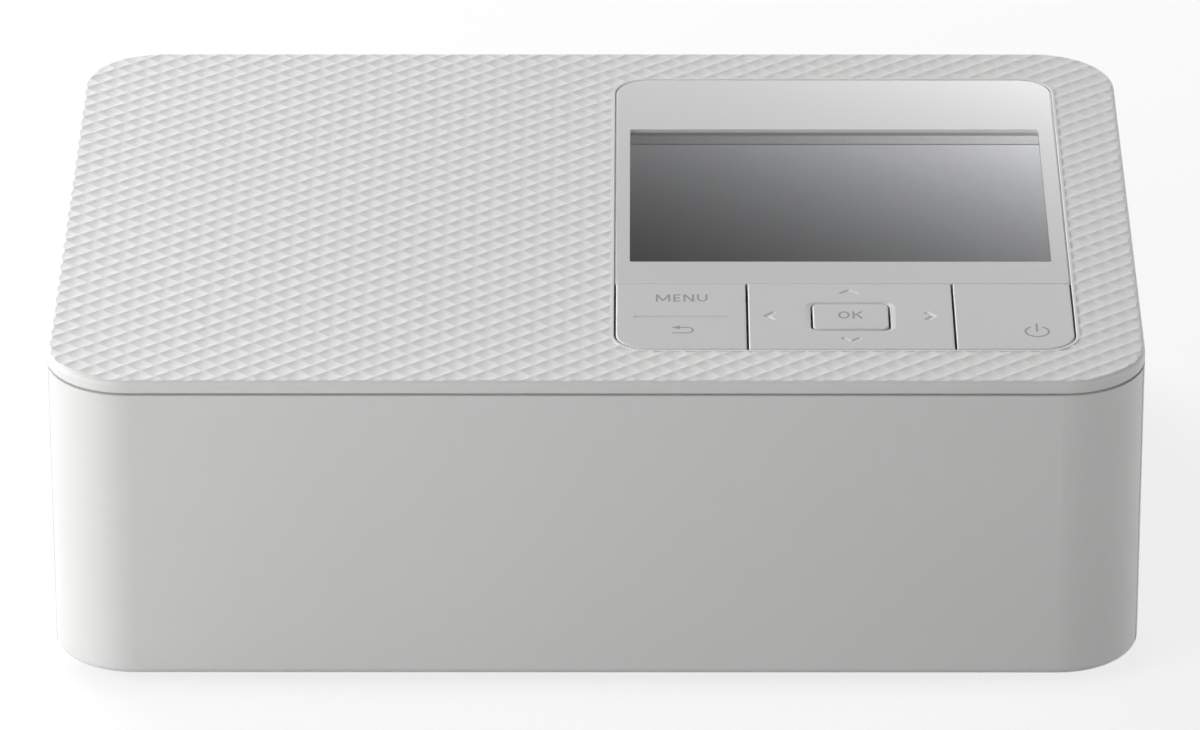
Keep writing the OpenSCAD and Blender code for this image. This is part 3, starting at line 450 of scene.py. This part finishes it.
border_loops, border_heights = rounded_top(window_box, window_r, LEDGE_Z, TOP_Z, WINDOW_EDGE,
                                           WINDOW_DROP)
ledge_box = (window_box[0] - LEDGE, SPLIT_Y, window_box[2] + LEDGE, window_box[3] + LEDGE)
ledge_r = (WINDOW_FRONT_R, WINDOW_FRONT_R, CONSOLE_R + LEDGE, CONSOLE_R + LEDGE)
pts, faces = rings([loop(ledge_box, ledge_r)] * 2 + border_loops + [loop(SCREEN, (SCREEN_R,) * 4)] * 2,
                   [WINDOW_Z, LEDGE_Z, *border_heights, TOP_Z, WINDOW_Z], closed=True)
piece("window_border", pts, faces, window_white, "case", "window", ["display_window"])

cell_box = grown(SCREEN, -CELL_GAP)
cell_outline = loop(cell_box, (CELL_R,) * 4)
pts, faces = rings([cell_outline] * 2, [WINDOW_Z, CELL_TOP])
piece("display_cell", pts, faces, screen_dark, "case", "display")
# the darker strip is partly the cell's inactive border and partly painted shade under the printed border
film_box = (cell_box[0], FILM_FRONT, cell_box[2], cell_box[3])
pts, faces = rings([loop(film_box, (LEAST_R, LEAST_R, CELL_R, CELL_R))] * 2,
                   [CELL_TOP, CELL_TOP + FILM_T])
piece("display_edge_film_and_shade", pts, faces, screen_edge_and_shade, "case", "display")
pts, faces = rings([cell_outline] * 2, [COVER_TOP - COVER_T, COVER_TOP])
piece("window_clear_cover", pts, faces, window_clear, "case", "window")

# ---------------------------------------------------------------- keys and their legends
KEY_TOP, KEY_Z, STEM_Z = TOP_Z - 0.03, 55.4, 53.2
KEY_EDGE = (0.3, 0.25, 0.3, 0.6)            # width of the turned edge, as for the window
KEY_DROP = 0.14
KEY_REAR = SPLIT_Y - 0.08                   # rear edge of the keys, clear of the window
KEY_R = 0.2
MENU_RIGHT, PAD_LEFT, PAD_RIGHT, POWER_LEFT = 25.05, 25.45, 59.55, 59.95
OK_BOX, OK_R = (36.2, -46.5, 48.8, -36.9), 1.2
GROOVE_W, GROOVE_FOOT, GROOVE_D = 1.0, 0.12, 0.16
CUT_SPILL = 0.1                             # how far a groove's tool stands over the key
KEY_SHARP_DEG = 5                           # keeps the key tops flat beside their shallow grooves
SEPARATOR = [(6.4, -41.92), (22.0, -41.92)]                 # the line across the menu key
CHEVRONS = [(29.1, -41.6, 180), (55.7, -41.6, 0), (42.4, -32.4, 90), (42.5, -50.6, 270)]
CHEVRON = np.array([(-0.65, 1.5), (0.65, 0), (-0.65, -1.5)])


def stroke(path, width, z0, z1, foot=None, closed=False):
    """A bar of one width along a path: each point is moved both ways along the mitred normal. foot is
    its width at z0 where that differs."""
    p = np.asarray(path, float)
    if closed:
        ahead, back = np.roll(p, -1, 0), np.roll(p, 1, 0)
    else:
        ahead, back = np.vstack([p[1:], 2 * p[-1] - p[-2]]), np.vstack([2 * p[0] - p[1], p[:-1]])
    d1, d0 = ahead - p, p - back
    d1 /= np.linalg.norm(d1, axis=1, keepdims=True)
    d0 /= np.linalg.norm(d0, axis=1, keepdims=True)
    n1 = np.column_stack([-d1[:, 1], d1[:, 0]])
    mitre = n1 + np.column_stack([-d0[:, 1], d0[:, 0]])
    mitre /= (mitre * n1).sum(1, keepdims=True)
    n = len(p)
    pts = np.concatenate([np.column_stack([p + side * mitre * w / 2, np.full(n, z)])
                          for z, w in ((z0, width if foot is None else foot), (z1, width))
                          for side in (1, -1)])
    k = np.arange(n if closed else n - 1)
    k1 = (k + 1) % n
    faces = np.concatenate([
        np.stack([2 * n + k1, 2 * n + k, 3 * n + k, 3 * n + k1], 1),        # upper face
        np.stack([k, k1, n + k1, n + k], 1),                                # lower face
        np.stack([k1, k, 2 * n + k, 2 * n + k1], 1),                        # left side
        np.stack([n + k, n + k1, 3 * n + k1, 3 * n + k], 1)])               # right side
    if not closed:
        faces = np.concatenate([faces, [[0, n, 3 * n, 2 * n],
                                        [2 * n - 1, n - 1, 3 * n - 1, 4 * n - 1]]])
    return pts, faces


def gathered(parts):
    """Several point and face arrays as one."""
    starts = np.cumsum([0] + [len(p) for p, f in parts])
    return (np.concatenate([p for p, f in parts]),
            np.concatenate([np.asarray(f) + k for (p, f), k in zip(parts, starts)]).tolist())


def oval(cx, cy, rx, ry, a0=0.0, a1=360.0, n=40):
    """Points (cx + rx cos a, cy + ry sin a) from one angle to another."""
    a = np.radians(np.linspace(a0, a1, n, endpoint=a1 - a0 < 360))
    return np.column_stack([cx + rx * np.cos(a), cy + ry * np.sin(a)])


def ridge(box, radii, inner=None):
    """A key's cap. inner is the outline of the hole in it, with the dish that leads down to it."""
    loops, heights = rounded_top(box, radii, KEY_Z, KEY_TOP, KEY_EDGE, KEY_DROP)
    if inner is None:
        return rings(loops, heights)
    return rings(loops + inner[0], heights + inner[1], closed=True)


def ok_outline(gx, gy, r):
    """The centre key's outline, drawn out by gx and gy."""
    return loop((OK_BOX[0] - gx, OK_BOX[1] - gy, OK_BOX[2] + gx, OK_BOX[3] + gy), (r,) * 4)


def groove(path):
    """A tool that cuts a groove with sloping sides into a key."""
    grow = (GROOVE_W - GROOVE_FOOT) / GROOVE_D * CUT_SPILL
    return stroke(path, GROOVE_W + grow, KEY_TOP - GROOVE_D, KEY_TOP + CUT_SPILL, foot=GROOVE_FOOT)


dish = ([ok_outline(1.35, 0.95, 2.1), ok_outline(1.25, 0.85, 2.0), ok_outline(1.1, 0.7, 1.9),
         ok_outline(0.45, 0.4, 1.5), ok_outline(0.35, 0.35, 1.5), ok_outline(0.35, 0.35, 1.5)],
        [KEY_TOP, KEY_TOP, KEY_TOP - 0.02, KEY_TOP - 0.16, KEY_TOP - 0.26, KEY_Z])
menu = bare("menu_key_cap", *ridge((CONSOLE[0], CONSOLE[1], MENU_RIGHT, KEY_REAR),
                                   (CONSOLE_R, KEY_R, KEY_R, KEY_R)))
cut(menu, bare("groove", *groove(SEPARATOR)))
dress(menu, key_plastic, "menu_rocker", "key_plastic", ["menu_key"], sharp_deg=KEY_SHARP_DEG)
pad = bare("direction_pad_cap", *ridge((PAD_LEFT, CONSOLE[1], PAD_RIGHT, KEY_REAR), (KEY_R,) * 4, dish))
tools = []
for cx, cy, turn in CHEVRONS:
    c, s = math.cos(math.radians(turn)), math.sin(math.radians(turn))
    tools.append(groove(CHEVRON @ np.array([[c, s], [-s, c]]) + (cx, cy)))
cut(pad, bare("grooves", *gathered(tools)))
dress(pad, key_plastic, "pad", "key_plastic", ["direction_pad"], sharp_deg=KEY_SHARP_DEG)
piece("ok_key_cap", *ridge(OK_BOX, (OK_R,) * 4), key_plastic, "ok", "key_plastic", ["ok_key"])
piece("power_key_cap", *ridge((POWER_LEFT, CONSOLE[1], CONSOLE[2], KEY_REAR),
                              (KEY_R, CONSOLE_R, KEY_R, KEY_R)),
      key_plastic, "power", "key_plastic", ["power_key"])

# name, body, x, y and radius of each stem under a cap
STEMS = [("menu_stem_rear", "menu_rocker", 14, -33.6, 1.1),
         ("menu_stem_front", "menu_rocker", 14, -49.8, 1.1),
         ("pad_stem_left", "pad", 29.2, -41.6, 1.1), ("pad_stem_right", "pad", 55.6, -41.6, 1.1),
         ("pad_stem_rear", "pad", 42.4, -32.6, 1.1), ("pad_stem_front", "pad", 42.4, -50.8, 1.1),
         ("ok_stem", "ok", 42.4, -41.6, 2.0), ("power_stem", "power", 69.8, -41.7, 1.1)]
for name, body, cx, cy, r in STEMS:
    piece(name, *rings([oval(cx, cy, r, r, n=24)] * 2, [STEM_Z, KEY_Z + 0.2]), key_plastic, body,
          "key_plastic")
# the rib on which the menu key rocks: its half-round section, in y and z, is carried along x
rock = oval(-41.8, 55.0, 0.5, 0.5, 180, 360, 13)
rock = np.vstack([rock, [(-41.3, KEY_Z + 0.1), (-42.3, KEY_Z + 0.1)]])
pts, faces = rings([rock] * 2, [6.0, 22.0])
piece("menu_rocking_rib", pts[:, [2, 0, 1]], faces, key_plastic, "menu_rocker", "key_plastic")


def capital(name, x, y, w, h, t):
    """Corners of the bars of a plain capital in a box: slanting bars with level ends, and level bars."""
    def steep(xa, ya, xb, yb):
        half = t / 2 * math.hypot(1, (xb - xa) / (yb - ya))
        return [(xa - half, ya), (xa + half, ya), (xb + half, yb), (xb - half, yb)]

    def level(xb, yc):
        return [(x, yc - t / 2), (xb, yc - t / 2), (xb, yc + t / 2), (x, yc + t / 2)]

    x0, x1, y1 = x + t / 2, x + w - t / 2, y + h
    if name == "M":
        return [steep(x0, y, x0, y1), steep(x1, y, x1, y1), steep(x + w / 2, y + 0.1 * h, x0, y1),
                steep(x + w / 2, y + 0.1 * h, x1, y1)]
    if name == "E":
        return [steep(x0, y, x0, y1), level(x + w, y + t / 2), level(x + 0.92 * w, y + h / 2),
                level(x + w, y1 - t / 2)]
    if name == "N":
        return [steep(x0, y, x0, y1), steep(x1, y, x1, y1), steep(x1, y, x0, y1)]
    return [steep(x0, y, x0, y1), steep(x0 + 0.1 * w, y + 0.45 * h, x1, y1),
            steep(x1, y, x0 + 0.3 * w, y + 0.6 * h)]


INK_Z0, INK_Z1 = KEY_TOP - 0.1, KEY_TOP + 0.01
INK_STEP = 0.001               # how much higher each bar of a legend lies than the last
INK_T, ARROW_T, POWER_T = 0.36, 0.32, 0.34                  # widths of the strokes


def printed(corner_sets):
    """Bars as prisms, each a hair higher than the last so that no two faces coincide."""
    return [rings([np.array(c)] * 2, [INK_Z0, INK_Z1 + INK_STEP * i])
            for i, c in enumerate(corner_sets)]


def legend(name, body, parts):
    piece(name, *gathered(parts), legend_ink, body, "key_plastic")


line, tall = -36.04, 2.75      # foot and height of the menu key's capitals
menu_bars = (capital("M", 9.99, line, 2.43, tall, INK_T) +
             capital("E", 12.93, line, 1.21, tall, INK_T) +
             capital("N", 14.61, line, 1.81, tall, INK_T))
bowl = oval(17.775, line + 1.2, 0.705, 1.02, 180, 360, 14)
u_path = np.vstack([[17.07, line + tall], bowl, [18.48, line + tall]])
arrow_head = [(12.58, -45.99), (14.03, -46.68), (13.98, -45.99), (14.03, -45.3)]
arrow = np.vstack([[13.93, -45.99], oval(15.31, -47.03, 0.82, 1.04, 90, -90, 14), [12.65, -48.07]])
legend("menu_legend", "menu_rocker", printed(menu_bars + [arrow_head]) +
       [stroke(u_path, INK_T, INK_Z0, INK_Z1), stroke(arrow, ARROW_T, INK_Z0, INK_Z1)])
legend("ok_legend", "ok", printed(capital("K", 42.81, -42.59, 1.75, 2.73, INK_T)) +
       [stroke(oval(41.39, -41.22, 0.79, 1.18), INK_T, INK_Z0, INK_Z1, closed=True)])
legend("power_legend", "power", printed([corners((73.23, -47.5, 73.57, -44.5))]) +
       [stroke(oval(73.4, -47.5, 1.95, 1.95, 120, 420, 44), POWER_T, INK_Z0, INK_Z1)])

# ---------------------------------------------------------------- camera
CAMERA_AT = np.array([7.54, -1327.50, 677.19])
CAMERA_PITCH, CAMERA_YAW, CAMERA_ROLL = 26.056, -0.307, -0.116              # degrees
CAMERA_LENS, SENSOR_W = 256.488, 36.0
CLIP_END = 20.0                # metres


def aimed(at, pitch, yaw, roll):
    """World matrix of a camera or lamp at a place, turned down by pitch and sideways by yaw and roll."""
    p, y, r = (math.radians(v) for v in (pitch, yaw, roll))
    ahead = np.array([math.sin(y) * math.cos(p), math.cos(y) * math.cos(p), -math.sin(p)])
    right = np.array([math.cos(y), -math.sin(y), 0.0])
    up = np.cross(right, ahead)
    x = math.cos(r) * right + math.sin(r) * up
    z = -math.sin(r) * right + math.cos(r) * up
    m = np.eye(4)
    m[:3, 0], m[:3, 1], m[:3, 2], m[:3, 3] = x, z, -ahead, np.asarray(at) * MM
    return Matrix(m.tolist())


lens = bpy.data.cameras.new("camera")
lens.lens = CAMERA_LENS
lens.sensor_width = SENSOR_W
lens.clip_end = CLIP_END
camera = bpy.data.objects.new("camera", lens)
camera.matrix_world = aimed(CAMERA_AT, CAMERA_PITCH, CAMERA_YAW, CAMERA_ROLL)
bpy.context.scene.collection.objects.link(camera)
bpy.context.scene.camera = camera

# ---------------------------------------------------------------- floor, light and reflections


def staged_plane(name, places, material):
    """A four-cornered plane that isn't part of the printer."""
    mesh = bpy.data.meshes.new(name)
    mesh.from_pydata((np.asarray(places, float) * MM).tolist(), [], [(0, 1, 2, 3)])
    mesh.materials.append(material)
    o = bpy.data.objects.new(name, mesh)
    bpy.context.scene.collection.objects.link(o)
    return o


def seen_ray(t):
    """1 for rays that come from the camera, a mirror or glass."""
    path = add(t, "ShaderNodeLightPath")
    both = add(t, "ShaderNodeMath", {0: path.outputs["Is Camera Ray"], 1: path.outputs["Is Glossy Ray"]},
               operation="ADD")
    return add(t, "ShaderNodeMath", {0: both.outputs[0], 1: path.outputs["Is Transmission Ray"]},
               operation="ADD", use_clamp=True).outputs[0]


WHITE = (1, 1, 1, 1)
FLOOR = 6000.0                 # half the floor's width
FLOOR_GLOW = 0.79              # the share of the floor's brightness that no shadow takes away


def studio_floor(t, p):
    """Pale sweep: seen directly it is near white and keeps the soft shadow, and it sends plain light up."""
    lit = add(t, "ShaderNodeBsdfDiffuse", {"Color": linear("#8C8C8C")})
    glow = add(t, "ShaderNodeEmission", {"Color": WHITE, "Strength": FLOOR_GLOW})
    shown = add(t, "ShaderNodeAddShader", {0: lit.outputs[0], 1: glow.outputs[0]})
    plain = add(t, "ShaderNodeBsdfDiffuse", {"Color": linear("#D8D8D8")})
    return add(t, "ShaderNodeMixShader", {0: seen_ray(t), 1: plain.outputs[0],
                                          2: shown.outputs[0]}).outputs[0]


staged_plane("floor", [(x, y, 0) for x, y in corners((-FLOOR, -FLOOR, FLOOR, FLOOR))],
             finish("floor_paper_sweep", studio_floor))

# Two upright softbox faces behind the printer, which only mirrors see.
CARD_Y = 400.0
CARD = (-60, 190, 150, 300)                 # x and z of the lower left and the upper right corner
LOW_CARD = (150, 60, 600, 188)
CARD_LEVEL = 8.17                           # natural logarithm of the card's light at x = 0, z = 0
CARD_ACROSS, CARD_UP = 0.0146, -0.0395      # and its change for each millimetre of x and z
CARD_MOST = 1.4                             # the highest that the logarithm gets
LOW_CARD_LEVEL = 2.2


def gradient_card(t, p):
    """Softbox face that the display mirrors. Its light grows evenly, by a constant share for each
    millimetre, to the right and downwards."""
    axes = add(t, "ShaderNodeSeparateXYZ", {0: p})
    across = add(t, "ShaderNodeMath", {0: axes.outputs[0], 1: CARD_ACROSS / MM, 2: CARD_LEVEL},
                 operation="MULTIPLY_ADD")
    both = add(t, "ShaderNodeMath", {0: axes.outputs[2], 1: CARD_UP / MM, 2: across.outputs[0]},
               operation="MULTIPLY_ADD")
    power = add(t, "ShaderNodeMath", {0: both.outputs[0], 1: CARD_MOST}, operation="MINIMUM")
    level = add(t, "ShaderNodeMath", {0: power.outputs[0]}, operation="EXPONENT")
    return add(t, "ShaderNodeEmission", {"Color": WHITE, "Strength": level.outputs[0]}).outputs[0]


def plain_card(t, p):
    """Softbox face of one even light, low at the right, for slopes that fall to the right."""
    return add(t, "ShaderNodeEmission", {"Color": WHITE, "Strength": LOW_CARD_LEVEL}).outputs[0]


def upright(box):
    return [(x, CARD_Y, z) for x, z in corners(box)]


low_card = staged_plane("reflection_card_low", upright(LOW_CARD), finish("softbox_low", plain_card))
card = staged_plane("reflection_card", upright(CARD), finish("softbox_gradient", gradient_card))
for reflected in (card, low_card):
    reflected.visible_camera = reflected.visible_diffuse = reflected.visible_shadow = False
    reflected.visible_transmission = False


def softbox(name, at, target, size, power):
    """A rectangular lamp that faces a target; power is in watts."""
    lamp = bpy.data.lights.new(name, "AREA")
    lamp.shape = "RECTANGLE"
    lamp.size, lamp.size_y = size[0] * MM, size[1] * MM
    lamp.energy = power
    o = bpy.data.objects.new(name, lamp)
    d = np.asarray(target, float) - np.asarray(at, float)
    pitch = math.degrees(math.atan2(-d[2], math.hypot(d[0], d[1])))
    yaw = math.degrees(math.atan2(d[0], d[1]))
    o.matrix_world = aimed(at, pitch, yaw, 0)
    bpy.context.scene.collection.objects.link(o)


AIM = (0, 0, 40)
# name, place, width and height, and watts of each lamp
SOFTBOXES = [
    ("light_left", (-1000, -100, 250), (600, 500), 4.1),
    ("light_front_left", (-450, -500, 350), (400, 400), 2.3),
    ("light_rear_left", (-600, 900, 900), (900, 600), 6.4),
    ("light_rear_low", (-640, 825, 450), (1200, 650), 6.4),
    ("light_right", (1000, -100, 250), (600, 500), 3.0),
]
AMBIENT = 0.03                 # light from all round; seen directly or in a mirror the room is white
for light_name, place, size, watts in SOFTBOXES:
    softbox(light_name, place, AIM, size, watts)

world = bpy.data.worlds.new("studio")
world.use_nodes = True
tree = world.node_tree
tree.nodes.clear()
ambient = add(tree, "ShaderNodeBackground", {"Color": WHITE, "Strength": AMBIENT})
backdrop = add(tree, "ShaderNodeBackground", {"Color": WHITE, "Strength": 1.0})
mixed = add(tree, "ShaderNodeMixShader", {0: seen_ray(tree), 1: ambient.outputs[0],
                                          2: backdrop.outputs[0]})
add(tree, "ShaderNodeOutputWorld", {"Surface": mixed.outputs[0]})
bpy.context.scene.world = world
bpy.context.scene.view_settings.view_transform = "Standard"
